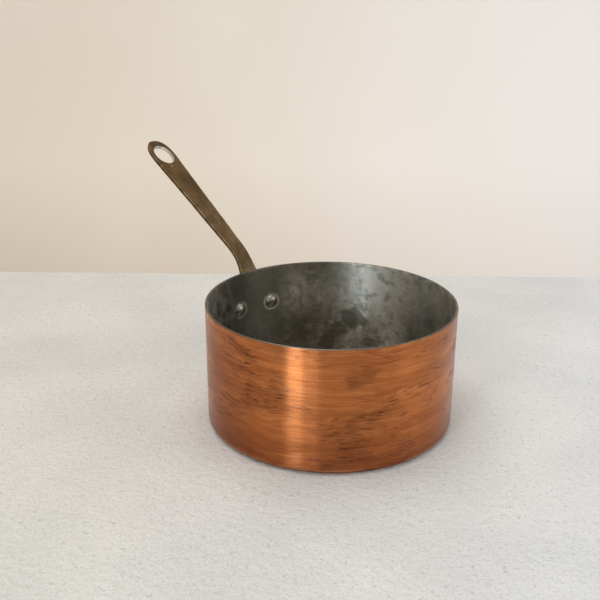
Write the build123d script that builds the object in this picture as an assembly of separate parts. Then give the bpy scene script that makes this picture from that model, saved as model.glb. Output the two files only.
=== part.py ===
"""Copper saucepan, 20 cm across: a tin-lined copper body and a cast brass handle held by two copper rivets.

Millimetres, +Z up. The origin is the centre of the flat outer base, and the handle points along +X.
Each piece is one solid in its own STEP file: pan_body, tin_lining, handle, rivet_left and rivet_right.
"""

from build123d import *
import os
from math import asin, cos, degrees, radians, sin, tan

# Pan: one sheet of copper, spun straight-sided, with tin wiped over its inside.
PAN_DIAMETER = 200.0
PAN_HEIGHT = 100.0
COPPER_WALL = 1.4
COPPER_BASE = 1.8
TIN = 0.25
BASE_CORNER = 6.0
RIM_ROUND = 0.5

# Strap, seen from the side: it leaves the wall upright, bends outwards, then runs straight to its tip.
STRAP_SLOPE = 30.0
BEND_START_Z = 73.6
BEND_RADIUS = 50.0
RUN_LENGTH = 150.4
STRAP_THICK = 3.5
ROOT_THICK = 4.6
UNDER_BEND_RADIUS = 46.0
STRAP_EDGE = 0.5

# Strap, seen square to its run: (distance from the bend, half width), and the rounded end.
NECK_HALF_WIDTH = 7.2
NECK_BACK = -18.5
NECK_END = -3.5
WIDENING = ((30.5, 8.4), (64.5, 9.55), (99.5, 10.95))
TIP_HALF_WIDTH = 12.1
TIP_ROUND_LENGTH = 25.0
TIP_FULLNESS = 0.69

# Root, seen along the handle: (height, half width) as the strap flares into a tongue on the root plate.
NECK_TOP_Z = 106.0
NECK_LOW_Z = 103.5
FLARE = ((98.0, 8.2), (90.0, 9.35), (82.0, 10.4))
TONGUE_HALF_WIDTH = 11.5
TONGUE_Z = 73.0
TONGUE_END_Z = 55.5
PLATE_THICK = 3.6
PLATE_Z = 67.0
PLATE_HALF_WIDTH = 27.0
PLATE_HALF_HEIGHT = 14.5
PLATE_EDGE = 1.0

# Hanging eye: an egg-shaped hole with its blunt end towards the tip, placed from the bend.
EYE_CENTRE = 129.9
EYE_HALF_WIDTH = 8.0
EYE_TO_TIP = 12.0
EYE_TO_PAN = 13.0
EYE_EDGE = 0.4

# Rivets: domed heads on the lining, flatter ones on the plate.
RIVET_SPACING = 35.0
RIVET_Z = 67.0
RIVET_SHANK = 6.0
RIVET_HOLE_PLAY = 0.03
INNER_HEAD = 12.0
INNER_HEAD_RISE = 3.2
OUTER_HEAD = 10.5
OUTER_HEAD_RISE = 1.9
HEAD_UPRIGHT = 0.2
HEAD_STUB = 1.0

OUTER_RADIUS = PAN_DIAMETER / 2
COPPER_INNER = OUTER_RADIUS - COPPER_WALL
LINING_INNER = COPPER_INNER - TIN
PLATE_OUTER = OUTER_RADIUS + PLATE_THICK
RIVET_ANGLE = degrees(asin(RIVET_SPACING / 2 / LINING_INNER))
WIDE = 120.0
DEEP = 30.0


def cup(outer, bottom, corner):
    """A solid plug shaped like the inside or outside of the pan: flat floor, round corner, upright side."""
    side = outer - corner
    turn = bottom + corner
    with BuildSketch(Plane.XZ) as half:
        with BuildLine():
            Line((0, bottom), (side, bottom))
            CenterArc((side, turn), corner, -90, 90)
            Polyline((outer, turn), (outer, PAN_HEIGHT), (0, PAN_HEIGHT), (0, bottom))
        make_face()
    return revolve(half.sketch, Axis.Z)


def rivet_place(side, distance):
    """A frame on a rivet's axis at a distance from the pan's axis, its Z pointing outwards."""
    return Rot(0, 0, side * RIVET_ANGLE) * Pos(distance, 0, RIVET_Z) * Rot(0, 90, 0)


def rivet_hole(side):
    """Cutter for one rivet hole, long enough for plate, copper and tin together."""
    return rivet_place(side, OUTER_RADIUS) * Cylinder(RIVET_SHANK / 2 + RIVET_HOLE_PLAY, DEEP)


def pan_body():
    """The copper shell, softened at the outside of its rim, with its rivet holes."""
    inner_corner = BASE_CORNER - COPPER_WALL
    shell = cup(OUTER_RADIUS, 0, BASE_CORNER) - cup(COPPER_INNER, COPPER_BASE, inner_corner)
    rim = shell.edges().filter_by(GeomType.CIRCLE).group_by(Axis.Z)[-1].sort_by(SortBy.RADIUS)[-1]
    return fillet(rim, RIM_ROUND) - rivet_hole(1) - rivet_hole(-1)


def tin_lining():
    """The tin over the whole inside of the shell, from floor to rim."""
    corner = BASE_CORNER - COPPER_WALL
    coat = cup(COPPER_INNER, COPPER_BASE, corner) - cup(LINING_INNER, COPPER_BASE + TIN, corner - TIN)
    return coat - rivet_hole(1) - rivet_hole(-1)


def bend_end():
    """Where the strap's upper line stops bending and runs straight, in X-Z."""
    turn = radians(90 - STRAP_SLOPE)
    return Vector(OUTER_RADIUS + BEND_RADIUS * (1 - cos(turn)), BEND_START_Z + BEND_RADIUS * sin(turn))


def strap_side():
    """The strap's side outline, swept across: thicker at its root than along its run."""
    slope = radians(STRAP_SLOPE)
    along = Vector(cos(slope), sin(slope))
    down = Vector(sin(slope), -cos(slope)) * STRAP_THICK
    beyond_tip = bend_end() + along * (RUN_LENGTH + DEEP)
    under_x = OUTER_RADIUS + ROOT_THICK + UNDER_BEND_RADIUS * (1 - sin(slope))
    under_z = (bend_end() + down).Y + (under_x - (bend_end() + down).X) * tan(slope)
    root_x = OUTER_RADIUS + ROOT_THICK
    root_z = under_z - UNDER_BEND_RADIUS * cos(slope)
    under_centre = (root_x + UNDER_BEND_RADIUS, root_z)
    inside = OUTER_RADIUS - ROOT_THICK
    with BuildSketch(Plane.XZ) as outline:
        with BuildLine():
            Line((inside, BEND_START_Z), (OUTER_RADIUS, BEND_START_Z))
            CenterArc((OUTER_RADIUS + BEND_RADIUS, BEND_START_Z), BEND_RADIUS, 180, STRAP_SLOPE - 90)
            Polyline(bend_end(), beyond_tip, beyond_tip + down, (under_x, under_z))
            CenterArc(under_centre, UNDER_BEND_RADIUS, 90 + STRAP_SLOPE, 90 - STRAP_SLOPE)
            Polyline((root_x, root_z), (root_x, TONGUE_END_Z), (inside, TONGUE_END_Z), (inside, BEND_START_Z))
        make_face()
    return extrude(outline.sketch, WIDE / 2, both=True)


def run_plane():
    """The plane of the run's upper face: X along the handle, Y across it, Z square to it."""
    slope = radians(STRAP_SLOPE)
    start = bend_end()
    along = (cos(slope), 0, sin(slope))
    square = (-sin(slope), 0, cos(slope))
    return Plane(origin=(start.X, 0, start.Y), x_dir=along, z_dir=square)


def run_outline():
    """The widening strap and its rounded end, cut square to the run."""
    round_start = (RUN_LENGTH - TIP_ROUND_LENGTH, TIP_HALF_WIDTH)
    tip = (RUN_LENGTH, 0)
    handle_1 = (RUN_LENGTH - TIP_ROUND_LENGTH * (1 - TIP_FULLNESS), TIP_HALF_WIDTH)
    handle_2 = (RUN_LENGTH, TIP_HALF_WIDTH * TIP_FULLNESS)
    with BuildSketch() as outline:
        with BuildLine():
            Polyline((NECK_BACK, 0), (NECK_BACK, NECK_HALF_WIDTH), (NECK_END, NECK_HALF_WIDTH))
            Spline((NECK_END, NECK_HALF_WIDTH), *WIDENING, round_start, tangents=[(1, 0), (1, 0)])
            Bezier(round_start, handle_1, handle_2, tip)
            mirror(about=Plane.XZ)
        make_face()
    return extrude(run_plane() * outline.sketch, DEEP, both=True)


def root_outline():
    """The neck, its flare and the rounded tongue, cut along the handle."""
    tongue_turn = (TONGUE_HALF_WIDTH, TONGUE_Z)
    tongue_end = (0, TONGUE_END_Z)
    with BuildSketch(Plane.YZ) as outline:
        with BuildLine():
            Polyline((0, NECK_TOP_Z), (NECK_HALF_WIDTH, NECK_TOP_Z), (NECK_HALF_WIDTH, NECK_LOW_Z))
            flare = [(width, height) for height, width in FLARE]
            Spline((NECK_HALF_WIDTH, NECK_LOW_Z), *flare, tongue_turn, tangents=[(0, -1), (0, -1)])
            EllipticalCenterArc((0, TONGUE_Z), TONGUE_HALF_WIDTH, TONGUE_Z - TONGUE_END_Z, 0, arc_size=-90)
            mirror(about=Plane.YZ)
        make_face()
    return extrude(outline.sketch, 2 * WIDE, both=True)


def root_plate():
    """The oval plate curved to the wall, its outer edge softened."""
    with BuildSketch(Plane.YZ) as oval:
        with Locations((0, PLATE_Z)):
            Ellipse(PLATE_HALF_WIDTH, PLATE_HALF_HEIGHT)
    block = extrude(oval.sketch, 2 * WIDE)
    ring = Pos(0, 0, PLATE_Z) * Cylinder(PLATE_OUTER, 2 * DEEP)
    plate = block & ring
    plate -= Pos(0, 0, PLATE_Z) * Cylinder(OUTER_RADIUS, 3 * DEEP)
    outer_face = plate.faces().sort_by(SortBy.DISTANCE)[-1]
    return fillet(outer_face.edges(), PLATE_EDGE)


def eye_cutter():
    """The egg-shaped hole, square to the run."""
    with BuildSketch() as egg:
        with BuildLine():
            EllipticalCenterArc((EYE_CENTRE, 0), EYE_TO_TIP, EYE_HALF_WIDTH, -90, arc_size=180)
            EllipticalCenterArc((EYE_CENTRE, 0), EYE_TO_PAN, EYE_HALF_WIDTH, 90, arc_size=180)
        make_face()
    return extrude(run_plane() * egg.sketch, DEEP, both=True)


def long_edges(strap):
    """The strap's long edges, round its upper face and its under face."""
    tip_side = strap.faces().sort_by(Axis.X)[-1]
    centred = strap.faces().filter_by(lambda f: abs(f.center().Y) < 1 and f.center().X > OUTER_RADIUS)
    broad = centred.filter_by(lambda f: f != tip_side)
    return broad.edges().filter_by(Axis.Y, reverse=True)


def eye_edges(casting):
    """The two lips of the hanging eye."""
    eye = run_plane() * Pos(EYE_CENTRE, 0, 0)
    walls = casting.faces().filter_by(lambda f: (f.center() - eye.position).length < EYE_TO_PAN + STRAP_THICK)
    inner = walls.filter_by(lambda f: f.geom_type == GeomType.EXTRUSION)
    return inner.edges().filter_by(lambda e: e.length > 2 * STRAP_THICK)


def handle():
    """The cast handle: strap and root plate in one piece, with its eye and rivet holes."""
    side = strap_side()
    strap = (side & run_outline()) + (side & root_outline())
    strap = fillet(long_edges(strap), STRAP_EDGE) - eye_cutter()
    strap = fillet(eye_edges(strap), EYE_EDGE)
    strap -= Pos(0, 0, PLATE_Z) * Cylinder(OUTER_RADIUS, 4 * DEEP)
    return strap + root_plate() - rivet_hole(1) - rivet_hole(-1)


def rivet_head(diameter, rise):
    """A domed head above the XY plane, with a stub below it to be trimmed to the curve it sits on."""
    radius = diameter / 2
    upright = rise * HEAD_UPRIGHT
    cap = rise - upright
    cap_radius = (radius ** 2 + cap ** 2) / (2 * cap)
    with BuildSketch(Plane.XZ) as half:
        with BuildLine():
            Polyline((0, rise), (0, -HEAD_STUB), (radius, -HEAD_STUB), (radius, upright))
            RadiusArc((radius, upright), (0, rise), -cap_radius)
        make_face()
    return revolve(half.sketch, Axis.Z)


def rivet(side):
    """One rivet: a shank through wall and plate, a domed head on the tin and a flatter one on the plate."""
    inner = rivet_place(side, LINING_INNER) * Rot(180, 0, 0) * rivet_head(INNER_HEAD, INNER_HEAD_RISE)
    outer = rivet_place(side, PLATE_OUTER) * rivet_head(OUTER_HEAD, OUTER_HEAD_RISE)
    shank = rivet_place(side, OUTER_RADIUS) * Cylinder(RIVET_SHANK / 2, DEEP)
    wall = Pos(0, 0, RIVET_Z) * (Cylinder(PLATE_OUTER, DEEP) - Cylinder(LINING_INNER, DEEP))
    middle = rivet_place(side, (LINING_INNER + PLATE_OUTER) / 2)
    core = middle * Cylinder(RIVET_SHANK / 2, PLATE_OUTER - LINING_INNER)
    return (inner + core + outer) - (wall - shank)


PIECES = {
    "pan_body": pan_body(),
    "tin_lining": tin_lining(),
    "handle": handle(),
    "rivet_left": rivet(1),
    "rivet_right": rivet(-1),
}

os.makedirs("parts", exist_ok=True)
for name, piece in PIECES.items():
    export_step(piece, f"parts/{name}.step")
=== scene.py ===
import math

import bpy
import numpy as np
from mathutils import Matrix, Vector


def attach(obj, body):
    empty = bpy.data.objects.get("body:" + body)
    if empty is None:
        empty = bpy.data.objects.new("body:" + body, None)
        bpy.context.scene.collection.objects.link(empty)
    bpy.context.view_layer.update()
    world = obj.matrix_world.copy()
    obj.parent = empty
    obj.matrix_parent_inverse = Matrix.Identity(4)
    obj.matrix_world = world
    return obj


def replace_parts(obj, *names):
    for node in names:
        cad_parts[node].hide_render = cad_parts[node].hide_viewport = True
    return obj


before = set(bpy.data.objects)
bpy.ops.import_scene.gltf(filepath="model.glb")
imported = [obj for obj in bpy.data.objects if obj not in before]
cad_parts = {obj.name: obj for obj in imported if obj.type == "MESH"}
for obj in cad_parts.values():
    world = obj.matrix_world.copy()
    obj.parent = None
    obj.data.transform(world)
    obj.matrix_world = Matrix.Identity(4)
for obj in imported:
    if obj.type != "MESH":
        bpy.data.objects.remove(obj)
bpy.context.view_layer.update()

# The studio: a pale plastered bench with a cream cloth hung well behind it. A window and its curtain light
# it from the left front, with a wide soft light overhead and weak ones at both sides and on the cloth.
# Nothing here is part of the pan. Metres throughout, base centre at the origin, handle along +X.
HANDLE_SEEN_AT = math.radians(133.4)
CAMERA_BACK, CAMERA_UP = 0.6346, 0.3347
CAMERA_TURN, CAMERA_DOWN, CAMERA_ROLL = 0.039, 0.355, 0.006
CAMERA_LENS, CAMERA_SENSOR = 51.0, 36.0
BENCH_BEHIND, BENCH_SKEW, STAGE_REACH = 0.3585, 0.079, 3.0

to_pan_frame = Matrix.Rotation(-HANDLE_SEEN_AT, 4, "Z")

camera = bpy.data.objects.new("camera", bpy.data.cameras.new("camera"))
bpy.context.scene.collection.objects.link(camera)
camera.data.lens = CAMERA_LENS
camera.data.sensor_width = CAMERA_SENSOR
camera.data.clip_start, camera.data.clip_end = 0.01, 50.0
camera.matrix_world = (
    to_pan_frame
    @ Matrix.Translation((0, -CAMERA_BACK, CAMERA_UP))
    @ Matrix.Rotation(CAMERA_TURN, 4, "Z")
    @ Matrix.Rotation(math.pi / 2 - CAMERA_DOWN, 4, "X")
    @ Matrix.Rotation(CAMERA_ROLL, 4, "Z")
)
bpy.context.scene.camera = camera
bpy.context.scene.view_settings.view_transform = "Standard"


def wire(tree, kind, inputs=None, **settings):
    """Adds one shader node. settings are its properties; inputs are values, or the sockets that feed it."""
    node = tree.nodes.new("ShaderNode" + kind)
    for key, value in settings.items():
        setattr(node, key, value)
    for key, value in (inputs or {}).items():
        if isinstance(value, bpy.types.NodeSocket):
            tree.links.new(value, node.inputs[key])
        else:
            node.inputs[key].default_value = value
    return node


def new_finish(name, **sockets):
    """A material with one Principled shader, its fixed numbers set on the shader's own sockets."""
    finish = bpy.data.materials.new(name)
    finish.use_nodes = True
    tree = finish.node_tree
    shader = tree.nodes["Principled BSDF"]
    for key, value in sockets.items():
        shader.inputs[key.replace("_", " ").title().replace("Ior", "IOR")].default_value = value
    return finish, tree, shader


def grain(tree, where, scale, detail=3.0, rough=0.5, drift=0.0):
    """Cloudy noise between 0 and 1, read at a place."""
    sockets = {"Vector": where, "Scale": scale, "Detail": detail, "Roughness": rough, "Distortion": drift}
    return wire(tree, "TexNoise", sockets).outputs["Fac"]


def stretched(tree, where, scale, shift=(0, 0, 0), turn=(0, 0, 0)):
    """A place scaled unevenly, so that noise read there runs in streaks."""
    sockets = {"Vector": where, "Scale": scale, "Location": shift, "Rotation": turn}
    return wire(tree, "Mapping", sockets).outputs["Vector"]


def between(tree, value, low, high, to_low=0.0, to_high=1.0):
    """Carries a value from one range to another along a smooth step, held at both ends."""
    sockets = {"Value": value, "From Min": low, "From Max": high, "To Min": to_low, "To Max": to_high}
    return wire(tree, "MapRange", sockets, interpolation_type="SMOOTHSTEP").outputs["Result"]


def sums(tree, operation, *values):
    """One arithmetic step on numbers."""
    return wire(tree, "Math", dict(enumerate(values)), operation=operation).outputs[0]


def times(tree, first, second):
    """One number times another."""
    return sums(tree, "MULTIPLY", first, second)


def tinted(tree, amount, first, second, kind="MIX"):
    """The first colour with an amount of the second over it."""
    mix = wire(tree, "Mix", {0: amount, 6: first, 7: second}, data_type="RGBA", blend_type=kind)
    return mix.outputs[2]


def object_place(tree):
    """Where a point is on the piece, in metres."""
    return wire(tree, "TexCoord").outputs["Object"]


def to_the_right(tree, place, left, right):
    """0 at one place across the stage and 1 at another."""
    return between(tree, wire(tree, "SeparateXYZ", {0: place}).outputs["X"], left, right)


def raised(tree, height, depth, under=None):
    """A bump of the given depth in metres, laid over another where there is one."""
    sockets = {"Height": height, "Distance": depth, "Strength": 1.0}
    if under is not None:
        sockets["Normal"] = under
    return wire(tree, "Bump", sockets).outputs["Normal"]


def flat_panel(name, corners, finish):
    """A single square sheet between four corners."""
    mesh = bpy.data.meshes.new(name)
    mesh.from_pydata(corners, [], [(0, 1, 2, 3)])
    panel = bpy.data.objects.new(name, mesh)
    panel.matrix_world = to_pan_frame
    mesh.materials.append(finish)
    bpy.context.scene.collection.objects.link(panel)


PLASTER_DULL, PLASTER_LIGHT = (0.60, 0.60, 0.59, 1), (0.66, 0.655, 0.64, 1)
PLASTER_FLECK = (0.36, 0.34, 0.31, 1)
DAYLIGHT_LEFT, DAYLIGHT_RIGHT = (0.97, 0.935, 0.885, 1), (1.05, 1.07, 1.09, 1)
plaster, tree, shader = new_finish("bench_plaster", roughness=0.8, specular_ior_level=0.25)
place = object_place(tree)
cloudy = between(tree, grain(tree, place, 9.0, 4.0), 0.3, 0.7)
plaster_colour = tinted(tree, cloudy, PLASTER_DULL, PLASTER_LIGHT)
grit = between(tree, grain(tree, place, 520.0, 3.0, 0.6), 0.30, 0.48, 0.80, 1.0)
plaster_colour = tinted(tree, 1.0, plaster_colour, grit, "MULTIPLY")
daylight = tinted(tree, to_the_right(tree, place, -0.35, 0.45), DAYLIGHT_LEFT, DAYLIGHT_RIGHT)
plaster_colour = tinted(tree, 1.0, plaster_colour, daylight, "MULTIPLY")
flecks = between(tree, grain(tree, place, 260.0, 2.0, 0.5), 0.62, 0.70)
plaster_colour = tinted(tree, times(tree, flecks, 0.45), plaster_colour, PLASTER_FLECK)
tree.links.new(plaster_colour, shader.inputs["Base Color"])
bumps = raised(tree, grain(tree, place, 160.0, 5.0, 0.6), 0.0012)
tree.links.new(bumps, shader.inputs["Normal"])

BENCH_TOP = -0.0001
flat_panel("bench", [
    (-STAGE_REACH, -STAGE_REACH, BENCH_TOP),
    (STAGE_REACH, -STAGE_REACH, BENCH_TOP),
    (STAGE_REACH, BENCH_BEHIND + BENCH_SKEW, BENCH_TOP),
    (-STAGE_REACH, BENCH_BEHIND - BENCH_SKEW, BENCH_TOP),
], plaster)

CLOTH_BEHIND, CLOTH_LOW, CLOTH_HIGH = 1.4, -0.9, 2.4
CLOTH_FOLD_SHADE, CLOTH_CREST_LIT, CLOTH_RIGHT_LIT = (0.71, 0.62, 0.51, 1), (0.75, 0.665, 0.565, 1), (0.84, 0.79, 0.765, 1)
cloth, tree, shader = new_finish("backdrop_cloth", roughness=0.9, specular_ior_level=0.1)
place = object_place(tree)
# Painted shade in the folds and painted light on their crests, drawn onto the flat sheet.
painted_fold_shade = between(tree, grain(tree, stretched(tree, place, (1.6, 1.0, 0.9)), 1.0, 3.0), 0.3, 0.7)
cloth_colour = tinted(tree, painted_fold_shade, CLOTH_FOLD_SHADE, CLOTH_CREST_LIT)
# Painted light: the cloth turns lighter and cooler towards the right.
cloth_colour = tinted(tree, to_the_right(tree, place, -0.5, 0.8), cloth_colour, CLOTH_RIGHT_LIT)
tree.links.new(cloth_colour, shader.inputs["Base Color"])
flat_panel("backdrop", [
    (-STAGE_REACH, CLOTH_BEHIND, CLOTH_LOW),
    (STAGE_REACH, CLOTH_BEHIND, CLOTH_LOW),
    (STAGE_REACH, CLOTH_BEHIND, CLOTH_HIGH),
    (-STAGE_REACH, CLOTH_BEHIND, CLOTH_HIGH),
], cloth)


def soft_light(name, where, width, height, power, colour, aim=(0, 0, 0.05)):
    """A rectangular soft light. Its place and its aim are measured from the pan: right, away, up."""
    lamp = bpy.data.lights.new(name, "AREA")
    lamp.shape, lamp.size, lamp.size_y = "RECTANGLE", width, height
    lamp.energy, lamp.color = power, colour
    light = bpy.data.objects.new(name, lamp)
    spot, target = to_pan_frame @ Vector(where), to_pan_frame @ Vector(aim)
    turned = (spot - target).to_track_quat("Z", "Y").to_matrix().to_4x4()
    light.matrix_world = Matrix.Translation(spot) @ turned
    light.visible_camera = False
    bpy.context.scene.collection.objects.link(light)


soft_light("window_left", (-0.97, -1.749, 0.44), 0.42, 0.58, 17.8, (0.76, 0.90, 1.0))
soft_light("window_curtain", (-0.58, -1.914, 0.44), 0.55, 0.58, 7.0, (0.80, 0.92, 1.0))
soft_light("wall_left", (-1.9, 0.5, 0.9), 1.4, 1.2, 0.6, (0.95, 0.98, 1.0))
soft_light("ceiling", (-0.3, 0.1, 2.2), 2.4, 2.0, 28.0, (1.0, 0.97, 0.93))
soft_light("cloth_wash", (0.1, 0.80, -0.45), 2.2, 0.5, 3.0, (1.0, 0.96, 0.90), aim=(0.1, 1.4, 0.0))
soft_light("side_right", (2.2, -0.6, 1.0), 1.2, 1.4, 9.0, (0.92, 0.97, 1.0))

room = bpy.data.worlds.new("room")
room.use_nodes = True
room_light = room.node_tree.nodes["Background"]
room_light.inputs["Color"].default_value = (1.0, 0.985, 0.965, 1)
room_light.inputs["Strength"].default_value = 0.52
bpy.context.scene.world = room

# The pan body: one sheet of copper 1.4 mm thick, spun straight-sided to 200 mm across and 100 mm high,
# its base 1.8 mm. It has been polished by hand round and round, and brown tarnish lies in the strokes.
MM = 0.001
PAN_RADIUS, PAN_HEIGHT = 100 * MM, 100 * MM
COPPER_WALL, COPPER_BASE, BASE_CORNER, RIM_ROUND = 1.4 * MM, 1.8 * MM, 6.0 * MM, 0.5 * MM
COPPER_INNER = PAN_RADIUS - COPPER_WALL
ROUND_STEPS = 384
RIVET_TURN, RIVET_HEIGHT, SHANK, SHANK_PLAY = math.asin(17.5 / 98.35), 67 * MM, 3.0 * MM, 0.03 * MM


def bend(centre, radius, start, end, steps):
    """Points on a circular bend in a profile, from one angle to another, in degrees."""
    angle = np.radians(np.linspace(start, end, steps))
    return np.column_stack([centre[0] + radius * np.cos(angle), centre[1] + radius * np.sin(angle)])


def run(start, end, steps):
    """Points on a straight run in a profile, without its two ends."""
    share = np.linspace(0, 1, steps + 2)[1:-1, None]
    return (1 - share) * np.array(start) + share * np.array(end)


def shallow_dents(turn, height):
    """How far hand use has pushed the wall in: 0 to 1, a sum of slow waves round the pan and up its wall."""
    draw = np.random.default_rng(20)
    total = np.zeros(np.broadcast(turn, height).shape)
    for _ in range(16):
        around, up = draw.integers(2, 15), draw.uniform(0, 3.0)
        size = draw.uniform(0.4, 1.0)
        total += size * np.cos(around * turn + up * math.pi * height / PAN_HEIGHT + draw.uniform(0, 6.28))
    total *= 1 / np.abs(total).max()
    return (1 + total) / 2


def closed_skin(name, rows, finish):
    """A closed surface from rows of points. Each row goes once round the piece, and the first and last rows
    are one point each."""
    steps = rows.shape[1]
    inner = rows[1:-1].reshape(-1, 3)
    points = np.vstack([rows[0, :1], inner, rows[-1, :1]])
    ring = np.arange(steps)
    after = (ring + 1) % steps
    start = 1 + steps * np.arange(len(rows) - 3)[:, None]
    beyond = start + steps
    quads = np.stack([start + ring, start + after, beyond + after, beyond + ring], -1).reshape(-1, 4)
    last = 1 + steps * (len(rows) - 3)
    first_fan = np.column_stack([np.zeros(steps, int), 1 + after, 1 + ring])
    last_fan = np.column_stack([last + ring, last + after, np.full(steps, len(points) - 1)])
    mesh = bpy.data.meshes.new(name)
    mesh.from_pydata(points.tolist(), [], first_fan.tolist() + quads.tolist() + last_fan.tolist())
    mesh.shade_smooth()
    piece = bpy.data.objects.new(name, mesh)
    if finish is not None:
        mesh.materials.append(finish)
    bpy.context.scene.collection.objects.link(piece)
    return piece


def turned_skin(name, profile, dent_depth, finish):
    """A spun shape. A profile point (radius, height) turned by an angle is at (radius cos, radius sin,
    height). The wall is pushed in by the shallow dents times a depth, which fades out over the floor."""
    radius, height = profile[:, :1], profile[:, 1:]
    turn = np.linspace(0, 2 * math.pi, ROUND_STEPS, endpoint=False)[None, :]
    wall = np.clip((radius / PAN_RADIUS - 0.9) / 0.08, 0, 1)
    radius = radius - wall * dent_depth * shallow_dents(turn, height)
    rows = np.stack(np.broadcast_arrays(radius * np.cos(turn), radius * np.sin(turn), height), -1)
    return closed_skin(name, rows, finish)


def rod(name, turn, height, radius, inside, outside):
    """A closed round rod along a rivet's axis, between two distances from the pan's axis."""
    around = np.linspace(0, 2 * math.pi, 48, endpoint=False)
    reach = np.array([inside, inside, outside, outside])[:, None]
    size = np.array([0, radius, radius, 0])[:, None]
    side, up = size * np.cos(around), height + size * np.sin(around)
    reach = np.broadcast_to(reach, side.shape)
    along_x = reach * math.cos(turn) - side * math.sin(turn)
    along_y = reach * math.sin(turn) + side * math.cos(turn)
    return closed_skin(name, np.stack([along_x, along_y, up], -1), None)


def reshaped(piece, kind, **settings):
    """Puts one modifier on a piece and makes its result the piece's own mesh."""
    modifier = piece.modifiers.new(kind.lower(), kind)
    for key, value in settings.items():
        setattr(modifier, key, value)
    result = bpy.data.meshes.new_from_object(piece.evaluated_get(bpy.context.evaluated_depsgraph_get()))
    result.name = piece.name
    piece.modifiers.clear()
    old = piece.data
    piece.data = result
    bpy.data.meshes.remove(old)


def cut(piece, cutter):
    """Takes a closed shape out of a piece."""
    reshaped(piece, "BOOLEAN", operation="DIFFERENCE", object=cutter, solver="EXACT")
    bpy.data.objects.remove(cutter)


def drill_rivet_holes(piece):
    """The two holes for the rivets' shanks."""
    for side in (1, -1):
        cut(piece, rod("drill", side * RIVET_TURN, RIVET_HEIGHT, SHANK + SHANK_PLAY, 90 * MM, 112 * MM))


def plus(tree, first, second):
    """One number and another."""
    return sums(tree, "ADD", first, second)


def minus(tree, first, second):
    """One number less another."""
    return sums(tree, "SUBTRACT", first, second)


def larger(tree, first, second):
    """The larger of two numbers."""
    return sums(tree, "MAXIMUM", first, second)


def length(tree, first, second):
    """The length of a line from its two parts at right angles: the root of the sum of their squares."""
    return sums(tree, "SQRT", plus(tree, times(tree, first, first), times(tree, second, second)))


def near(tree, place, turn, radius, height, reach):
    """1 at a spot, falling to 0 at a reach from it. The spot is given by its turn round the pan in degrees,
    its radius and its height."""
    spot = (radius * math.cos(math.radians(turn)), radius * math.sin(math.radians(turn)), height)
    away = wire(tree, "VectorMath", {0: place, 1: spot}, operation="DISTANCE").outputs["Value"]
    return between(tree, away, reach, 0.0)


def near_any(tree, place, radius, spots):
    """The strongest of several spots, each given by its turn in degrees, its height and its reach."""
    strongest = 0.0
    for turn, height, reach in spots:
        strongest = larger(tree, strongest, near(tree, place, turn, radius, height, reach))
    return strongest


def brushed_level(tree, shader):
    """Points the metal's strokes round its upright axis, so that light spreads across them."""
    tangent = wire(tree, "Tangent", direction_type="RADIAL", axis="Z")
    tree.links.new(tangent.outputs[0], shader.inputs["Tangent"])


COPPER_DEEP, COPPER_LIGHT = (0.40, 0.118, 0.034, 1), (0.60, 0.197, 0.060, 1)
COPPER_FRESH, COPPER_PAINTED_LIGHT = (0.72, 0.30, 0.12, 1), (0.74, 0.30, 0.12, 1)
SCRATCH, SMOKE_AND_SHADE = (0.27, 0.080, 0.028, 1), (0.22, 0.068, 0.030, 1)
TARNISH_BROWN, TARNISH_PLUM = (0.085, 0.030, 0.014, 1), (0.13, 0.042, 0.032, 1)
FOOT_BROWN, FOOT_LINE = (0.20, 0.055, 0.026, 1), (0.80, 0.38, 0.18, 1)
SCORCH_DARK, SCORCH_LIGHT, SCORCH_RING = (0.10, 0.045, 0.026, 1), (0.38, 0.15, 0.075, 1), (0.5, 0.22, 0.11, 1)
LIP_DULL = (0.20, 0.155, 0.11, 1)
TARNISH_UPPER = ((97, 0.078, 0.036), (172, 0.063, 0.019), (118, 0.046, 0.017))
TARNISH_LOWER = ((171, 0.036, 0.019), (141, 0.040, 0.024), (84, 0.028, 0.034))
CLEAN_TURN, PAINTED_SHADE_TURN, PAINTED_LIGHT_TURN = 151, 80, 187
FOOT_TOP, FOOT_FULL, CORNER_LINE_AT, CORNER_LINE_WIDTH = 42 * MM, 4 * MM, 4.2 * MM, 1.2 * MM
UNDER_FROM, UNDER_FULL, LIP_FROM, LIP_FULL = 2.2 * MM, 0.4 * MM, 99.4 * MM, 99.8 * MM
SWAY, STROKE_DEPTH, HAIRLINE_DEPTH = 0.011, 0.00005, 0.00003


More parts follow.
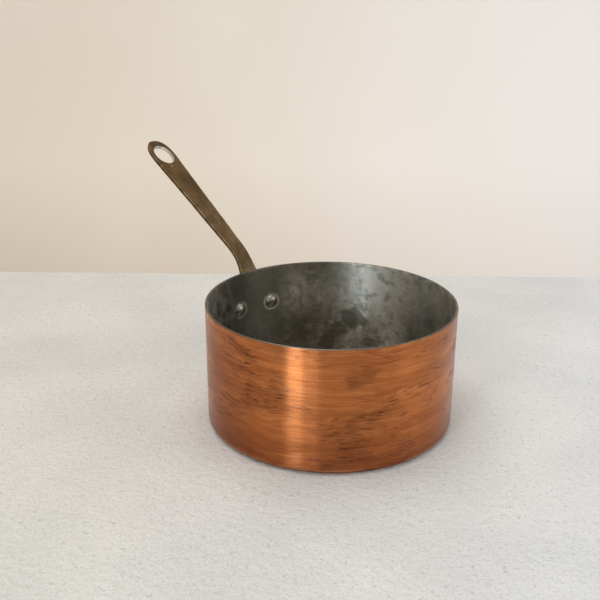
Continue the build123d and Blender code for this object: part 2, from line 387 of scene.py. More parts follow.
def copper_finish():
    """Hand-polished copper: red-orange metal under fine level strokes, with brown and plum tarnish lying in
    clusters of short level streaks. The strokes spread light up and down the wall, so the widest spread lies
    across them. Painted shade darkens the wall round turn 80, and painted light brightens it round turn 187.
    The foot is darker, the underside is scorched in rings, and tin has run over the lip."""
    finish, tree, shader = new_finish("copper", metallic=1.0, anisotropic=1.0, anisotropic_rotation=0.25)
    place = object_place(tree)
    axes = wire(tree, "SeparateXYZ", {0: place}).outputs
    height, radius = axes["Z"], length(tree, axes["X"], axes["Y"])

    sway = times(tree, minus(tree, grain(tree, place, 22.0, 2.0), 0.5), SWAY)
    lifted = wire(tree, "CombineXYZ", {"Z": sway}).outputs[0]
    swayed = wire(tree, "VectorMath", {0: place, 1: lifted}, operation="ADD").outputs[0]
    hairlines = grain(tree, stretched(tree, place, (26, 26, 1300)), 1.0, 3.0, 0.6)
    strokes = grain(tree, stretched(tree, swayed, (34, 34, 800)), 1.0, 4.0, 0.6)
    streaks = grain(tree, stretched(tree, swayed, (95, 95, 760), shift=(3, 1, 7)), 1.0, 3.0, 0.6)
    bands = grain(tree, stretched(tree, swayed, (14, 14, 110), shift=(5, 2, 1)), 1.0, 4.0, 0.6)
    clouds = grain(tree, stretched(tree, place, (1, 1, 1.7), shift=(0.31, 0.12, 0.07)), 30.0, 3.0, 0.55)
    slanting = stretched(tree, place, (40, 40, 700), shift=(1, 4, 2), turn=(0.22, 0.16, 0))
    crossed = grain(tree, slanting, 1.0, 3.0, 0.6)

    metal = tinted(tree, between(tree, bands, 0.38, 0.62), COPPER_DEEP, COPPER_LIGHT)
    metal = tinted(tree, between(tree, strokes, 0.35, 0.68, 0.0, 0.28), metal, COPPER_FRESH)
    metal = tinted(tree, between(tree, hairlines, 0.42, 0.68, 0.0, 0.45), metal, SCRATCH)
    smoke_and_shade = between(tree, plus(tree, times(tree, clouds, 0.7), times(tree, bands, 0.3)), 0.50, 0.64)
    # Painted shade: a darker stretch of the wall at turn 80, laid in the same dark tone as the random smoky
    # clouds.
    painted_shade_side = near(tree, place, PAINTED_SHADE_TURN, PAN_RADIUS, 0.050, 0.065)
    smoke_and_shade = larger(tree, smoke_and_shade, times(tree, painted_shade_side, 0.9))
    # Painted light: at turn 187 the dark tone is taken off the wall, and a lighter, rosier copper is laid on.
    smoke_and_shade = minus(tree, smoke_and_shade, near(tree, place, PAINTED_LIGHT_TURN, PAN_RADIUS, 0.075, 0.045))
    metal = tinted(tree, times(tree, smoke_and_shade, 0.45), metal, SMOKE_AND_SHADE)
    painted_light_side = near(tree, place, PAINTED_LIGHT_TURN, PAN_RADIUS, 0.078, 0.045)
    metal = tinted(tree, times(tree, painted_light_side, 0.15), metal, COPPER_PAINTED_LIGHT)

    marks = near_any(tree, place, PAN_RADIUS, TARNISH_UPPER + TARNISH_LOWER)
    marks = minus(tree, marks, near(tree, place, CLEAN_TURN, PAN_RADIUS, 0.074, 0.030))
    cluster = between(tree, plus(tree, clouds, times(tree, marks, 0.15)), 0.46, 0.66)
    dark = times(tree, between(tree, streaks, 0.49, 0.68), cluster)
    slanted = times(tree, between(tree, crossed, 0.62, 0.72), between(tree, bands, 0.5, 0.6, 0.0, 0.6))
    dark = larger(tree, dark, slanted)
    plum = between(tree, grain(tree, place, 48.0, 2.0), 0.45, 0.6)
    colour = tinted(tree, times(tree, dark, 0.72), metal, tinted(tree, plum, TARNISH_BROWN, TARNISH_PLUM))

    foot = between(tree, height, FOOT_TOP, FOOT_FULL)
    foot = times(tree, foot, between(tree, strokes, 0.35, 0.65, 0.20, 0.72))
    colour = tinted(tree, foot, colour, FOOT_BROWN)
    # A lighter line in patches round the wall 4.2 mm up, where the base corner starts.
    from_corner = sums(tree, "ABSOLUTE", minus(tree, height, CORNER_LINE_AT))
    in_patches = between(tree, grain(tree, place, 60.0), 0.42, 0.6)
    corner_line = times(tree, between(tree, from_corner, CORNER_LINE_WIDTH, 0.0), in_patches)
    colour = tinted(tree, times(tree, corner_line, 0.6), colour, FOOT_LINE)

    wobble = times(tree, grain(tree, place, 20.0), 2.0)
    rings = wire(tree, "CombineXYZ", {0: times(tree, radius, 900.0), 1: wobble}).outputs[0]
    ring_lines = grain(tree, rings, 1.0, 3.0, 0.6)
    scorched = between(tree, grain(tree, place, 34.0, 4.0, 0.6), 0.38, 0.62)
    scorch = tinted(tree, scorched, SCORCH_DARK, SCORCH_LIGHT)
    scorch = tinted(tree, between(tree, ring_lines, 0.4, 0.7, 0.0, 0.55), scorch, SCORCH_RING)
    under = between(tree, height, UNDER_FROM, UNDER_FULL)
    colour = tinted(tree, under, colour, scorch)

    lip = between(tree, height, LIP_FROM, LIP_FULL)
    lip = times(tree, lip, between(tree, grain(tree, place, 90.0), 0.2, 0.45))
    tree.links.new(tinted(tree, lip, colour, LIP_DULL), shader.inputs["Base Color"])

    gloss = between(tree, strokes, 0.3, 0.7, 0.29, 0.23)
    gloss = plus(tree, gloss, times(tree, plus(tree, dark, smoke_and_shade), 0.07))
    gloss = plus(tree, gloss, times(tree, larger(tree, under, lip), 0.17))
    gloss = plus(tree, gloss, between(tree, height, 0.085, 0.015, 0.0, -0.05))
    tree.links.new(gloss, shader.inputs["Roughness"])
    brushed_level(tree, shader)
    skin = raised(tree, strokes, STROKE_DEPTH)
    skin = raised(tree, hairlines, HAIRLINE_DEPTH, skin)
    tree.links.new(skin, shader.inputs["Normal"])
    return finish


FLAT_RADIUS = PAN_RADIUS - BASE_CORNER
INSIDE_LIFT = [0, COPPER_BASE - COPPER_WALL]
copper_profile = np.vstack([
    [[0, 0]],
    run((0, 0), (FLAT_RADIUS, 0), 30),
    bend((FLAT_RADIUS, BASE_CORNER), BASE_CORNER, -90, 0, 18),
    run((PAN_RADIUS, BASE_CORNER), (PAN_RADIUS, PAN_HEIGHT - RIM_ROUND), 70),
    bend((PAN_RADIUS - RIM_ROUND, PAN_HEIGHT - RIM_ROUND), RIM_ROUND, 0, 90, 7),
    [[COPPER_INNER + 0.4 * MM, PAN_HEIGHT], [COPPER_INNER, PAN_HEIGHT]],
    run((COPPER_INNER, PAN_HEIGHT), (COPPER_INNER, BASE_CORNER), 40),
    bend((FLAT_RADIUS, BASE_CORNER), BASE_CORNER - COPPER_WALL, 0, -90, 8) + INSIDE_LIFT,
    run((FLAT_RADIUS, COPPER_BASE), (0, COPPER_BASE), 8),
    [[0, COPPER_BASE]],
])
DENT_DEPTH = 0.12 * MM
DISH = 0.35 * MM
underside = (copper_profile[:, 1] == 0) & (copper_profile[:, 0] < FLAT_RADIUS)
copper_profile[underside, 1] = DISH * (1 - (copper_profile[underside, 0] / FLAT_RADIUS) ** 2)
pan_body = turned_skin("copper_body", copper_profile, DENT_DEPTH, copper_finish())
drill_rivet_holes(pan_body)
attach(pan_body, "root")
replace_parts(pan_body, "pan_body")

# The tin lining: pure tin melted and wiped by hand over the whole inside, a quarter of a millimetre thick.
# Years of cooking have turned it dull grey, with stains, faint runs and a brighter ring round each rivet.
TIN, TIN_EDGE = 0.25 * MM, 0.12 * MM
LINING_INNER = COPPER_INNER - TIN
FLOOR_TOP = COPPER_BASE + TIN
MARKS_AT = 98 * MM
TIN_DULL, TIN_PALE, TIN_BLOTCH = (0.30, 0.277, 0.225, 1), (0.82, 0.775, 0.68, 1), (0.15, 0.135, 0.105, 1)
STAIN, FROSTED, DRIPPED = (0.085, 0.078, 0.062, 1), (0.66, 0.65, 0.61, 1), (0.17, 0.16, 0.14, 1)
WIPED, SPECKED, TIN_PAINTED_SHADE = (0.56, 0.545, 0.50, 1), (0.10, 0.095, 0.08, 1), (0.105, 0.094, 0.070, 1)
TIN_PAINTED_LIGHT, SHADED, TIN_PAINTED_HIGHLIGHT = (0.70, 0.67, 0.60, 1), (0.14, 0.128, 0.105, 1), (0.60, 0.56, 0.50, 1)
RIVET_HALO, BURNT, LIP_STAINED = (0.56, 0.53, 0.46, 1), (0.16, 0.13, 0.10, 1), (0.12, 0.11, 0.085, 1)
POOL_SPOTS = ((-55, 0.050, 0.022), (-43, 0.029, 0.026), (-30, 0.036, 0.030), (-66, 0.024, 0.018))
DROP_SPOTS = ((-55, 0.047, 0.0165), (-47.5, 0.035, 0.012), (-41.5, 0.0215, 0.013), (-60, 0.045, 0.009))
HALO_OUTER, HALO_INNER, FLOOR_FROM, FLOOR_FULL = 9.2 * MM, 6.4 * MM, 9 * MM, 3 * MM


def tin_finish():
    """Dull wiped tin: grey metal in soft-edged and hard-edged stains, level wiping marks, drips and specks.
    It has painted shade on the handle's side and at turn -57, painted light at turns 38 and -112, a mottled
    painted highlight high on the wall at turn -72, and it is brighter at each rivet."""
    finish, tree, shader = new_finish("tin", metallic=1.0, anisotropic=0.8, anisotropic_rotation=0.25)
    place = object_place(tree)
    axes = wire(tree, "SeparateXYZ", {0: place}).outputs
    across, back, height = axes["X"], axes["Y"], axes["Z"]

    clouds = grain(tree, place, 17.0, 4.0, 0.55)
    pools = grain(tree, stretched(tree, place, (1, 1, 1), shift=(0.2, 0.5, 0.3)), 30.0, 4.0, 0.55, 0.5)
    pool_clouds = grain(tree, stretched(tree, place, (1, 1, 1), shift=(0.7, 0.2, 0.6)), 16.0, 1.0)
    mottle = grain(tree, place, 130.0, 4.0, 0.65)
    spots = grain(tree, stretched(tree, place, (1, 1, 1.2), shift=(0.9, 0.1, 0.4)), 52.0, 5.0, 0.65, 0.4)
    drips = grain(tree, stretched(tree, place, (150, 150, 14)), 1.0, 3.0, 0.5)
    wiping = grain(tree, stretched(tree, place, (20, 20, 330)), 1.0, 4.0, 0.6)
    specks = grain(tree, place, 900.0, 2.0, 0.5)

    colour = tinted(tree, between(tree, clouds, 0.36, 0.64), TIN_DULL, TIN_PALE)
    colour = tinted(tree, between(tree, mottle, 0.42, 0.64, 0.0, 0.72), colour, TIN_BLOTCH)
    settled = near_any(tree, place, MARKS_AT, POOL_SPOTS)
    pools = plus(tree, pools, times(tree, settled, 0.16))
    where_pools = larger(tree, between(tree, pool_clouds, 0.45, 0.6), settled)
    pool = times(tree, between(tree, pools, 0.565, 0.595), where_pools)
    colour = tinted(tree, times(tree, pool, 0.85), colour, STAIN)
    drops = near_any(tree, place, MARKS_AT, DROP_SPOTS)
    drops = plus(tree, drops, times(tree, minus(tree, mottle, 0.5), 0.9))
    drops = between(tree, drops, 0.28, 0.38)
    colour = tinted(tree, times(tree, drops, 0.7), colour, STAIN)
    spot = times(tree, between(tree, spots, 0.54, 0.68), between(tree, drops, 1.0, 0.0))
    colour = tinted(tree, times(tree, spot, 0.5), colour, FROSTED)
    colour = tinted(tree, between(tree, drips, 0.45, 0.70, 0.0, 0.30), colour, DRIPPED)
    colour = tinted(tree, between(tree, wiping, 0.45, 0.72, 0.0, 0.25), colour, WIPED)
    colour = tinted(tree, between(tree, specks, 0.62, 0.72, 0.0, 0.5), colour, SPECKED)

    # Painted shade: the wall on the handle's side is darkened, a little less at turn -27 and a little more at
    # turn -2.
    facing = minus(tree, times(tree, across, 0.97), times(tree, back, 0.24))
    facing = sums(tree, "DIVIDE", facing, 0.0984)
    handle_side_shade = times(tree, between(tree, facing, 0.55, 0.93), between(tree, clouds, 0.3, 0.6, 0.7, 1.0))
    handle_side_shade = minus(tree, handle_side_shade, near(tree, place, -27, MARKS_AT, 0.075, 0.035))
    handle_side_shade = plus(tree, handle_side_shade, times(tree, near(tree, place, -2, MARKS_AT, 0.085, 0.040), 0.30))
    colour = tinted(tree, times(tree, handle_side_shade, 0.78), colour, TIN_PAINTED_SHADE)
    # Painted light: two broad lighter places on the wall, at turn 38 and at turn -112.
    painted_light_left = times(tree, near(tree, place, 38, MARKS_AT, 0.068, 0.055), between(tree, mottle, 0.35, 0.6))
    cloudy_side = between(tree, clouds, 0.35, 0.6, 0.2, 0.8)
    painted_light_right = times(tree, near(tree, place, -112, MARKS_AT, 0.060, 0.060), cloudy_side)
    colour = tinted(tree, times(tree, larger(tree, painted_light_left, painted_light_right), 0.7), colour, TIN_PAINTED_LIGHT)
    shade = near(tree, place, -57, MARKS_AT, 0.088, 0.026)
    colour = tinted(tree, times(tree, shade, 0.7), colour, SHADED)
    patchy = plus(tree, times(tree, spots, 0.6), times(tree, mottle, 0.4))
    # Painted highlight: a pale mottled patch high on the wall at turn -72.
    tin_painted_highlight = times(tree, near(tree, place, -72, MARKS_AT, 0.079, 0.040), between(tree, patchy, 0.56, 0.47))
    colour = tinted(tree, times(tree, tin_painted_highlight, 0.75), colour, TIN_PAINTED_HIGHLIGHT)

    halo = 0.0
    above = minus(tree, height, RIVET_HEIGHT)
    on_handle_side = sums(tree, "GREATER_THAN", across, 0.0)
    for turn in (RIVET_TURN, -RIVET_TURN):
        aside = minus(tree, times(tree, back, math.cos(turn)), times(tree, across, math.sin(turn)))
        ring = between(tree, length(tree, aside, above), HALO_OUTER, HALO_INNER)
        halo = larger(tree, halo, times(tree, ring, on_handle_side))
    halo = times(tree, halo, between(tree, spots, 0.35, 0.6, 0.35, 0.95))
    colour = tinted(tree, halo, colour, RIVET_HALO)

    floor = between(tree, height, FLOOR_FROM, FLOOR_FULL)
    burnt = times(tree, between(tree, grain(tree, place, 30.0, 5.0, 0.6), 0.42, 0.66), 0.6)
    colour = tinted(tree, times(tree, floor, burnt), colour, BURNT)
    lip = times(tree, between(tree, height, LIP_FROM, LIP_FULL), 0.7)
    tree.links.new(tinted(tree, lip, colour, LIP_STAINED), shader.inputs["Base Color"])

    gloss = between(tree, mottle, 0.3, 0.7, 0.36, 0.50)
    gloss = plus(tree, gloss, times(tree, pool, 0.07))
    gloss = minus(tree, gloss, times(tree, spot, 0.07))
    gloss = plus(tree, gloss, times(tree, tin_painted_highlight, 0.06))
    tree.links.new(gloss, shader.inputs["Roughness"])
    brushed_level(tree, shader)
    skin = raised(tree, plus(tree, clouds, times(tree, pool, 0.06)), 0.00025)
    skin = raised(tree, wiping, 0.00005, skin)
    tree.links.new(skin, shader.inputs["Normal"])
    return finish


lining_profile = np.vstack([
    [[0, COPPER_BASE]],
    run((0, COPPER_BASE), (FLAT_RADIUS, COPPER_BASE), 8),
    bend((FLAT_RADIUS, BASE_CORNER), BASE_CORNER - COPPER_WALL, -90, 0, 8) + INSIDE_LIFT,
    run((COPPER_INNER, BASE_CORNER), (COPPER_INNER, PAN_HEIGHT), 40),
    [[COPPER_INNER, PAN_HEIGHT], [LINING_INNER + TIN_EDGE, PAN_HEIGHT]],
    [[LINING_INNER, PAN_HEIGHT - TIN_EDGE]],
    run((LINING_INNER, PAN_HEIGHT - TIN_EDGE), (LINING_INNER, BASE_CORNER), 80),
    bend((FLAT_RADIUS, BASE_CORNER), BASE_CORNER - COPPER_WALL - TIN, 0, -90, 12) + INSIDE_LIFT,
    run((FLAT_RADIUS, FLOOR_TOP), (0, FLOOR_TOP), 30),
    [[0, FLOOR_TOP]],
])
tin_lining = turned_skin("tin_lining_skin", lining_profile, DENT_DEPTH, tin_finish())
drill_rivet_holes(tin_lining)
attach(tin_lining, "root")
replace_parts(tin_lining, "tin_lining")

# The handle: one brass casting, filed and left to brown. A plate curved to the wall takes the rivets, and a
# tongue on it turns into the strap, which bends out at 30 degrees, widens and ends round an egg-shaped eye.
SLOPE = math.radians(30)
BEND_TOP, BEND_UNDER, BEND_LOW = 50 * MM, 46 * MM, 73.6 * MM
STRAP_THICK, ROOT_THICK, RUN_LENGTH, TIP_LENGTH = 3.5 * MM, 4.6 * MM, 150.4 * MM, 25.0 * MM
STRAP_EDGE, PLATE_EDGE, SUNK_IN = 0.5 * MM, 1.0 * MM, 1.5 * MM
TONGUE_LOW, TONGUE_HIGH, TONGUE_HALF = 55.5 * MM, 73 * MM, 11.5 * MM
NECK_END, SMOOTH_FROM, SMOOTH_SHORT_OF_TIP = -3.5 * MM, 75 * MM, 8 * MM
NECK_HALF = ((73, 11.5), (77, 11.3), (82, 10.4), (90, 9.35), (98, 8.2), (103.5, 7.2))
RUN_HALF = ((-3.5, 7.2), (13.5, 7.75), (30.5, 8.4), (64.5, 9.55), (99.5, 10.95), (113, 11.65), (125, 12.1))
PLATE_HALF, PLATE_TALL, PLATE_OUTER, PLATE_BACK = 27 * MM, 14.5 * MM, 103.6 * MM, PAN_RADIUS - 1.2 * MM
EYE_AT, EYE_HALF, EYE_TO_TIP, EYE_TO_PAN, EYE_LIP = 129.9 * MM, 8.0 * MM, 12 * MM, 13 * MM, 0.6 * MM
CAST_CELL = 0.38 * MM

along = np.array([math.cos(SLOPE), math.sin(SLOPE)])
square = np.array([-math.sin(SLOPE), math.cos(SLOPE)])
bend_end = np.array([PAN_RADIUS + BEND_TOP * (1 - math.sin(SLOPE)), BEND_LOW + BEND_TOP * math.cos(SLOPE)])
root_x = PAN_RADIUS + ROOT_THICK
under_end_x = root_x + BEND_UNDER * (1 - math.sin(SLOPE))
under_line = bend_end - square * STRAP_THICK
under_end = np.array([under_end_x, under_line[1] + (under_end_x - under_line[0]) * math.tan(SLOPE)])
root_z = under_end[1] - BEND_UNDER * math.cos(SLOPE)


def strap_skin():
    """The strap: a rounded oblong section carried along the gap between an upper and an under line. Its half
    width follows the tongue, then the neck by its height and the run by its length, each a list of places and
    half widths in millimetres. It closes at the tip by the 0.4th power of one less the 2.5th power of the
    share of the tip passed."""
    low = TONGUE_LOW + (BEND_LOW - TONGUE_LOW) * np.sin(np.linspace(0, math.pi / 2, 22)[:-1]) ** 1.6
    under_up = TONGUE_LOW + (root_z - TONGUE_LOW) * (low - TONGUE_LOW) / (BEND_LOW - TONGUE_LOW)
    upper_low = np.column_stack([np.full(len(low), PAN_RADIUS - SUNK_IN), low])
    under_low = np.column_stack([np.full(len(low), root_x), under_up])
    turn = np.linspace(0, math.pi / 2 - SLOPE, 60)[:, None]
    upper_bend = [PAN_RADIUS + BEND_TOP, BEND_LOW] + BEND_TOP * np.hstack([-np.cos(turn), np.sin(turn)])
    upper_bend[:, 0] -= SUNK_IN * np.clip(1 - (upper_bend[:, 1] - BEND_LOW) / (9 * MM), 0, 1) ** 2
    under_bend = [root_x + BEND_UNDER, root_z] + BEND_UNDER * np.hstack([-np.cos(turn), np.sin(turn)])
    far = RUN_LENGTH - TIP_LENGTH * (1 - np.sin(np.linspace(0, math.pi / 2, 40)))
    far = np.append(np.linspace(0, RUN_LENGTH - TIP_LENGTH, 110)[1:-1], far)[:, None]
    upper_run = bend_end + along * far
    under_start = (under_end - bend_end) @ along
    under_far = under_start + (RUN_LENGTH - under_start) * far / RUN_LENGTH
    under_run = bend_end - square * STRAP_THICK + along * under_far
    upper = np.vstack([upper_low, upper_bend, upper_run])
    under = np.vstack([under_low, under_bend, under_run])

    height, out = upper[:, 1], (upper - bend_end) @ along
    below_top = (TONGUE_HIGH - np.minimum(height, TONGUE_HIGH)) / (TONGUE_HIGH - TONGUE_LOW)
    tongue = TONGUE_HALF * np.sqrt(np.clip(1 - below_top ** 2, 0, 1))
    neck = np.interp(height / MM, *np.transpose(NECK_HALF)) * MM
    run_width = np.interp(out / MM, *np.transpose(RUN_HALF)) * MM
    half = np.where(height < TONGUE_HIGH, tongue, np.where(out < NECK_END, neck, run_width))
    smooth = np.convolve(np.pad(half, 6, "edge"), np.full(13, 1 / 13), "valid")
    middle = (height > SMOOTH_FROM) & (out < RUN_LENGTH - TIP_LENGTH - SMOOTH_SHORT_OF_TIP)
    half = np.where(middle, smooth, half)
    tip_share = np.clip((out - RUN_LENGTH + TIP_LENGTH) / TIP_LENGTH, 0, 1)
    half = half * np.clip(1 - tip_share ** 2.5, 0, 1) ** 0.4

    corner = np.linspace(0, math.pi / 2, 7)
    flat = np.linspace(-1, 1, 13)[1:-1]
    side = np.linspace(-1, 1, 4)[1:-1]
    half_section = np.hstack([
        [np.ones(7), np.ones(7), np.cos(corner), np.sin(corner)],
        [-flat, np.ones(11), np.zeros(11), np.ones(11)],
        [-np.ones(7), np.ones(7), -np.sin(corner), np.cos(corner)],
        [-np.ones(2), -side, -np.ones(2), np.zeros(2)],
    ])
    width_share, depth_share, round_width, round_depth = np.hstack([half_section, -half_section])
    middle_line, reach = (upper + under) / 2, (upper - under) / 2
    thick = np.linalg.norm(reach, axis=1)[:, None]
    edge = np.minimum(STRAP_EDGE, 0.95 * half)[:, None]
    from_tip = np.clip((RUN_LENGTH - out) / STRAP_EDGE, 0, 1)[:, None]
    thin = STRAP_EDGE * (1 - np.sqrt(1 - (1 - from_tip) ** 2))
    across = width_share * (half[:, None] - edge) + edge * round_width
    depth = depth_share * (thick - thin - edge) + edge * round_depth
    place = middle_line[:, None, :] + depth[:, :, None] * (reach / thick)[:, None, :]
    rows = np.stack([place[:, :, 0], across, place[:, :, 1]], -1)
    first, last = rows[:1].mean(1, keepdims=True), rows[-1:].mean(1, keepdims=True)
    rows[0], rows[-1] = first[0], last[0]
    return closed_skin("strap", rows, None)


def plate_skin():
    """The root plate: an oval bent round the pan's axis, drawn as its face, its rounded edge, its side and
    its back. A point's reach out is the root of the square of its distance from the axis less the square of
    its place across."""
    around = np.linspace(0, 2 * math.pi, 160, endpoint=False)
    share = np.sin(np.linspace(0, math.pi / 2, 26))
    corner = np.linspace(0, math.pi / 2, 7)[1:]
    closing = np.linspace(1, 0, 7)[1:]
    scale, inset, far = np.hstack([
        [share, PLATE_EDGE * share, np.full(26, PLATE_OUTER)],
        [np.ones(6), PLATE_EDGE * (1 - np.sin(corner)), PLATE_OUTER - PLATE_EDGE * (1 - np.cos(corner))],
        [[1, 1], [0, 0], [PLATE_OUTER - 2 * MM, PLATE_BACK]],
        [closing, np.zeros(6), np.full(6, PLATE_BACK)],
    ])
    across = (PLATE_HALF * scale - inset)[:, None] * np.cos(around)
    up = RIVET_HEIGHT + (PLATE_TALL * scale - inset)[:, None] * np.sin(around)
    across[0], up[0] = 0, RIVET_HEIGHT
    across[-1], up[-1] = 0, RIVET_HEIGHT
    out = np.sqrt(far[:, None] ** 2 - across ** 2)
    rows = np.stack([out, across, up], -1)
    return closed_skin("plate", rows, None)


def eye_cutter():
    """The egg-shaped eye, square to the run: two half ellipses, with a quarter round opening each face."""
    around = np.linspace(0, 2 * math.pi, 96, endpoint=False)
    sunk = np.linspace(0, EYE_LIP, 6)
    flare = EYE_LIP - np.sqrt(EYE_LIP ** 2 - (EYE_LIP - sunk) ** 2)
    clear = np.array([1.6, 1.6, 0.3]) * MM
    wider = np.array([1.9, 1.9, 0.9]) * MM
    level = np.concatenate([clear, -sunk, sunk[::-1] - STRAP_THICK, -STRAP_THICK - clear[::-1]])
    open_by = np.concatenate([wider, flare, flare[::-1], wider[::-1]])
    solid = np.ones(len(level))
    solid[[0, -1]] = 0
    reach = np.where(np.cos(around) > 0, EYE_TO_TIP, EYE_TO_PAN)
    out = EYE_AT + (reach + open_by[:, None]) * np.cos(around) * solid[:, None]
    across = (EYE_HALF + open_by[:, None]) * np.sin(around) * solid[:, None]
    rows = np.stack([
        bend_end[0] + out * along[0] + level[:, None] * square[0],
        across,
        bend_end[1] + out * along[1] + level[:, None] * square[1],
    ], -1)
    return closed_skin("eye", rows[::-1], None)


def wall_cutter():
    """The round space that the pan takes up behind the plate and strap."""
    around = np.linspace(0, 2 * math.pi, 720, endpoint=False)
    level = np.array([20, 20, 130, 130])[:, None] * MM
    radius = np.array([0, PAN_RADIUS, PAN_RADIUS, 0])[:, None]
    rows = np.stack(np.broadcast_arrays(radius * np.cos(around), radius * np.sin(around), level), -1)
    return closed_skin("wall", rows, None)


def gentle_noise(points, size, seed):
    """Smooth random swell at each point, about -1 to 1: a sum of plane waves of about one size."""
    draw = np.random.default_rng(seed)
    total = np.zeros(len(points))
    for _ in range(24):
        way = draw.normal(size=3)
        way *= 2 * math.pi / (np.linalg.norm(way) * size * draw.uniform(0.7, 1.6))
        total += np.cos(points @ way + draw.uniform(0, 6.28))
    return total / 5.0


BRASS_DARK, BRASS_BROWN = (0.075, 0.046, 0.020, 1), (0.125, 0.077, 0.035, 1)
BRASS_RUN, BRASS_FILED = (0.185, 0.115, 0.054, 1), (0.06, 0.038, 0.022, 1)
BRASS_RUBBED, BRASS_PIT = (0.40, 0.27, 0.13, 1), (0.05, 0.035, 0.02, 1)
BRASS_CHIP, BRASS_BARE_AND_REFLECTION = (0.48, 0.40, 0.28, 1), (0.72, 0.76, 0.70, 1)
TIP_TINT, ROOT_TINT = (0.84, 0.80, 0.70, 1), (1.25, 1.32, 1.45, 1)
ROOT_TINT_FROM, ROOT_TINT_FULL = 215 * MM, 115 * MM


def brass_finish():
    """Old cast brass: olive-brown patina, mottled and streaked along the strap, rubbed back to yellow metal
    on its edges, with small pits, chips and file marks across. The eye's wall, where a hook has worn it, is
    bare pale metal with a painted bluish reflection."""
    finish, tree, shader = new_finish("handle_brass", metallic=1.0)
    place = object_place(tree)
    strap_place = stretched(tree, place, (1, 1, 1), turn=(0, SLOPE, 0))
    clouds = grain(tree, place, 55.0, 4.0, 0.6)
    runs = grain(tree, stretched(tree, strap_place, (60, 260, 260)), 1.0, 4.0, 0.6)
    filing = grain(tree, stretched(tree, strap_place, (1400, 60, 60)), 1.0, 3.0, 0.6)
    wear = wire(tree, "Attribute", attribute_name="wear").outputs["Fac"]
    hook_wear_and_reflection = wire(tree, "Attribute", attribute_name="hook_wear_and_reflection").outputs["Fac"]

    colour = tinted(tree, between(tree, clouds, 0.36, 0.66), BRASS_DARK, BRASS_BROWN)
    colour = tinted(tree, between(tree, runs, 0.42, 0.72, 0.0, 0.45), colour, BRASS_RUN)
    colour = tinted(tree, between(tree, filing, 0.52, 0.75, 0.0, 0.35), colour, BRASS_FILED)
    patchy_wear = plus(tree, wear, times(tree, minus(tree, clouds, 0.5), 1.6))
    rubbed = between(tree, patchy_wear, 0.35, 1.0)
    colour = tinted(tree, times(tree, rubbed, 0.5), colour, BRASS_RUBBED)
    pitted = between(tree, grain(tree, place, 620.0, 2.0, 0.5), 0.66, 0.74)
    colour = tinted(tree, times(tree, pitted, 0.6), colour, BRASS_PIT)
    chips = between(tree, grain(tree, place, 240.0, 2.0, 0.5), 0.71, 0.77)
    colour = tinted(tree, times(tree, chips, 0.5), colour, BRASS_CHIP)
    out = wire(tree, "SeparateXYZ", {0: place}).outputs["X"]
    to_root = between(tree, out, ROOT_TINT_FROM, ROOT_TINT_FULL)
    colour = tinted(tree, 1.0, colour, tinted(tree, to_root, TIP_TINT, ROOT_TINT), "MULTIPLY")
    # The eye's wall: worn bare by a hook, and tinted pale and bluish as a painted reflection of the window.
    colour = tinted(tree, times(tree, hook_wear_and_reflection, 0.8), colour, BRASS_BARE_AND_REFLECTION)
    tree.links.new(colour, shader.inputs["Base Color"])

    gloss = between(tree, clouds, 0.3, 0.7, 0.52, 0.40)
    gloss = minus(tree, gloss, times(tree, rubbed, 0.08))
    gloss = minus(tree, gloss, times(tree, hook_wear_and_reflection, 0.12))
    tree.links.new(gloss, shader.inputs["Roughness"])
    skin = raised(tree, clouds, 0.00022)
    skin = raised(tree, minus(tree, times(tree, filing, 0.5), pitted), 0.00005, skin)
    tree.links.new(skin, shader.inputs["Normal"])
    return finish


strap, plate = strap_skin(), plate_skin()
cut(strap, eye_cutter())
with bpy.context.temp_override(active_object=strap, selected_editable_objects=[strap, plate]):
    bpy.ops.object.join()
handle = strap
handle.name = handle.data.name = "cast_handle"
reshaped(handle, "REMESH", mode="VOXEL", voxel_size=CAST_CELL)
reshaped(handle, "SMOOTH", factor=0.5, iterations=3)
cut(handle, wall_cutter())
drill_rivet_holes(handle)

WORN_FULL, HOOK_EDGE, HOOK_FADE = 0.10, 1.055, 0.05
SWELL, RIPPLE, SHRINKAGE = 0.05 * MM, 0.02 * MM, 0.06 * MM


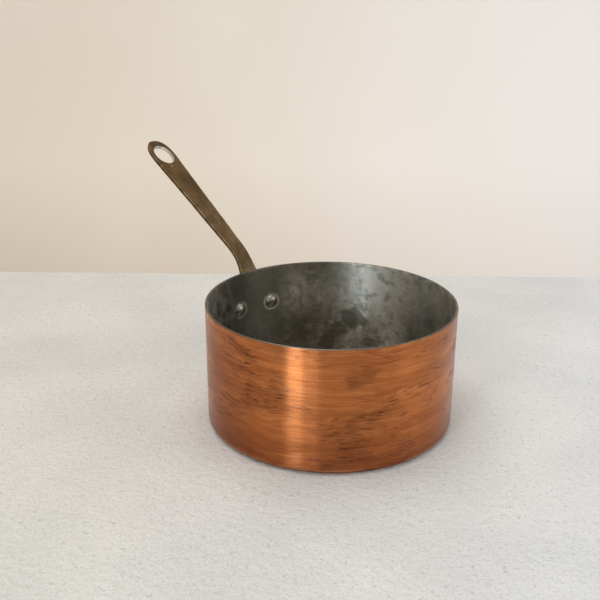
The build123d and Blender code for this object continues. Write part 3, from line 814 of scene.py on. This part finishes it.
def cast_surface(piece):
    """Moves each point of the casting along its normal by a slow swell, as sand leaves it. Marks as worn the
    places that stand out most from the mean of their neighbours, and marks the wall of the eye, worn by a
    hook and given a painted reflection."""
    mesh = piece.data
    count = len(mesh.vertices)
    points, normals = np.empty(count * 3), np.empty(count * 3)
    mesh.vertices.foreach_get("co", points)
    mesh.vertices.foreach_get("normal", normals)
    points, normals = points.reshape(-1, 3), normals.reshape(-1, 3)
    ends = np.empty(len(mesh.edges) * 2, int)
    mesh.edges.foreach_get("vertices", ends)
    first, second = ends.reshape(-1, 2).T
    neighbours = np.bincount(first, minlength=count) + np.bincount(second, minlength=count)

    def mean_of_neighbours(values):
        """The sum of a value over the points that share an edge with each point, over how many there are."""
        total = np.bincount(first, values[second], count) + np.bincount(second, values[first], count)
        return total / neighbours

    average = np.column_stack([mean_of_neighbours(points[:, axis]) for axis in range(3)])
    bulge = ((points - average) * normals).sum(1) / CAST_CELL
    for _ in range(3):
        bulge = (bulge + mean_of_neighbours(bulge)) / 2
    mark = mesh.attributes.new("wear", "FLOAT", "POINT")
    mark.data.foreach_set("value", np.clip(bulge / WORN_FULL, 0, 1))
    # The eye's wall, for the hook's wear and the painted reflection on it.
    run_out = (points[:, [0, 2]] - bend_end) @ along - EYE_AT
    oval = np.hypot(run_out / np.where(run_out > 0, EYE_TO_TIP, EYE_TO_PAN), points[:, 1] / EYE_HALF)
    mark = mesh.attributes.new("hook_wear_and_reflection", "FLOAT", "POINT")
    mark.data.foreach_set("value", np.clip((HOOK_EDGE - oval) / HOOK_FADE, 0, 1))
    swell = SWELL * gentle_noise(points, 9 * MM, 3) + RIPPLE * gentle_noise(points, 3.5 * MM, 4) - SHRINKAGE
    free = np.hypot(points[:, 0], points[:, 1]) > PAN_RADIUS + 0.2 * MM
    points += normals * (swell * free)[:, None]
    mesh.vertices.foreach_set("co", points.ravel())
    mesh.update()


cast_surface(handle)
handle.data.shade_smooth()
handle.data.set_sharp_from_angle(angle=math.radians(50))
handle.data.materials.clear()
handle.data.materials.append(brass_finish())
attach(handle, "root")
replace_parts(handle, "handle")

# The two rivets: soft copper, put in from inside and hammered over on the plate. The inner heads are domed
# and were tinned with the lining; the outer heads are lower, with the flats that the hammer left.
INNER_HEAD, INNER_RISE, OUTER_HEAD, OUTER_RISE = 6 * MM, 3.2 * MM, 5.25 * MM, 1.9 * MM
TIN_ENDS, COPPER_STARTS = 98.5 * MM, 100.5 * MM
TINNED_DARK, TINNED_LIGHT = (0.20, 0.175, 0.145, 1), (0.43, 0.385, 0.325, 1)
HAMMERED_DARK, HAMMERED_LIGHT = (0.22, 0.085, 0.040, 1), (0.55, 0.24, 0.115, 1)
HEAD_SCRATCH = (0.12, 0.09, 0.07, 1)


def rivet_finish():
    """Hammered copper: dull tin over the heads inside, brown copper outside, both clouded and scratched."""
    finish, tree, shader = new_finish("rivet_copper", metallic=1.0)
    place = object_place(tree)
    clouds = grain(tree, place, 160.0, 4.0, 0.6)
    scratches = grain(tree, stretched(tree, place, (300, 300, 1500)), 1.0, 3.0, 0.6)
    clouded = between(tree, clouds, 0.38, 0.62)
    inside = tinted(tree, clouded, TINNED_DARK, TINNED_LIGHT)
    outside = tinted(tree, clouded, HAMMERED_DARK, HAMMERED_LIGHT)
    out = wire(tree, "SeparateXYZ", {0: place}).outputs["X"]
    colour = tinted(tree, between(tree, out, TIN_ENDS, COPPER_STARTS), inside, outside)
    colour = tinted(tree, between(tree, scratches, 0.5, 0.75, 0.0, 0.4), colour, HEAD_SCRATCH)
    tree.links.new(colour, shader.inputs["Base Color"])
    tree.links.new(between(tree, clouds, 0.3, 0.7, 0.46, 0.30), shader.inputs["Roughness"])
    tree.links.new(raised(tree, clouds, 0.00012), shader.inputs["Normal"])
    return finish


def rivet_skin(name, side, finish):
    """A rivet, turned about its own axis and trimmed to the wall. A point at a distance from the axis lies on
    the lining's or the plate's curve plus the dome's height there, and hammer flats take a little off."""
    around = np.linspace(0, 2 * math.pi, 72, endpoint=False)[None, :]
    dome = np.sin(np.linspace(0, math.pi / 2, 24))
    seat = np.linspace(1, 0, 6)
    draw = np.random.default_rng(7 + side)

    def head_height(share, rise):
        """The dome's height at a share of its radius. A fifth of the rise comes at its steep edge, and the
        rest falls as one less the 2.3rd power of the share, less the deepest of seven flats."""
        shape = rise * (0.2 * np.clip(1 - share ** 12, 0, 1) ** 0.5 + 0.8 * (1 - share ** 2.3))
        flats = np.zeros(np.broadcast(share, around).shape)
        for _ in range(7):
            way, far = draw.uniform(0, 6.28), draw.uniform(0.45, 0.9)
            flats = np.maximum(flats, (share * np.cos(around - way) - far) * draw.uniform(0.15, 0.35))
        return shape - rise * np.maximum(flats, 0) * (1 - share ** 4)

    inner_far = (INNER_HEAD * dome)[:, None] * np.ones_like(around)
    inner_curve = np.sqrt(LINING_INNER ** 2 - (inner_far * np.cos(around)) ** 2)
    inner = inner_curve - head_height(dome[:, None], INNER_RISE)
    seat_far = (SHANK + (INNER_HEAD - SHANK) * seat)[1:, None] * np.ones_like(around)
    inner_seat = np.sqrt(LINING_INNER ** 2 - (seat_far * np.cos(around)) ** 2)
    outer_seat_far = (SHANK + (OUTER_HEAD - SHANK) * seat[::-1])[:, None] * np.ones_like(around)
    outer_seat = np.sqrt(PLATE_OUTER ** 2 - (outer_seat_far * np.cos(around)) ** 2)
    outer_far = (OUTER_HEAD * dome[::-1])[1:, None] * np.ones_like(around)
    outer_curve = np.sqrt(PLATE_OUTER ** 2 - (outer_far * np.cos(around)) ** 2)
    outer = outer_curve + head_height(dome[::-1][1:, None], OUTER_RISE)
    far = np.vstack([inner_far, seat_far, outer_seat_far, outer_far])
    reach = np.vstack([inner, inner_seat, outer_seat, outer])
    reach[0], reach[-1] = reach[0].mean(), reach[-1].mean()
    turn = side * RIVET_TURN
    aside, up = far * np.cos(around), far * np.sin(around)
    rows = np.stack([
        reach * math.cos(turn) - aside * math.sin(turn),
        reach * math.sin(turn) + aside * math.cos(turn),
        RIVET_HEIGHT + up,
    ], -1)
    rivet = closed_skin(name, rows[:, ::-1], finish)
    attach(rivet, "root")
    return rivet


rivet_metal = rivet_finish()
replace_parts(rivet_skin("rivet_left_hammered", 1, rivet_metal), "rivet_left")
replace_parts(rivet_skin("rivet_right_hammered", -1, rivet_metal), "rivet_right")
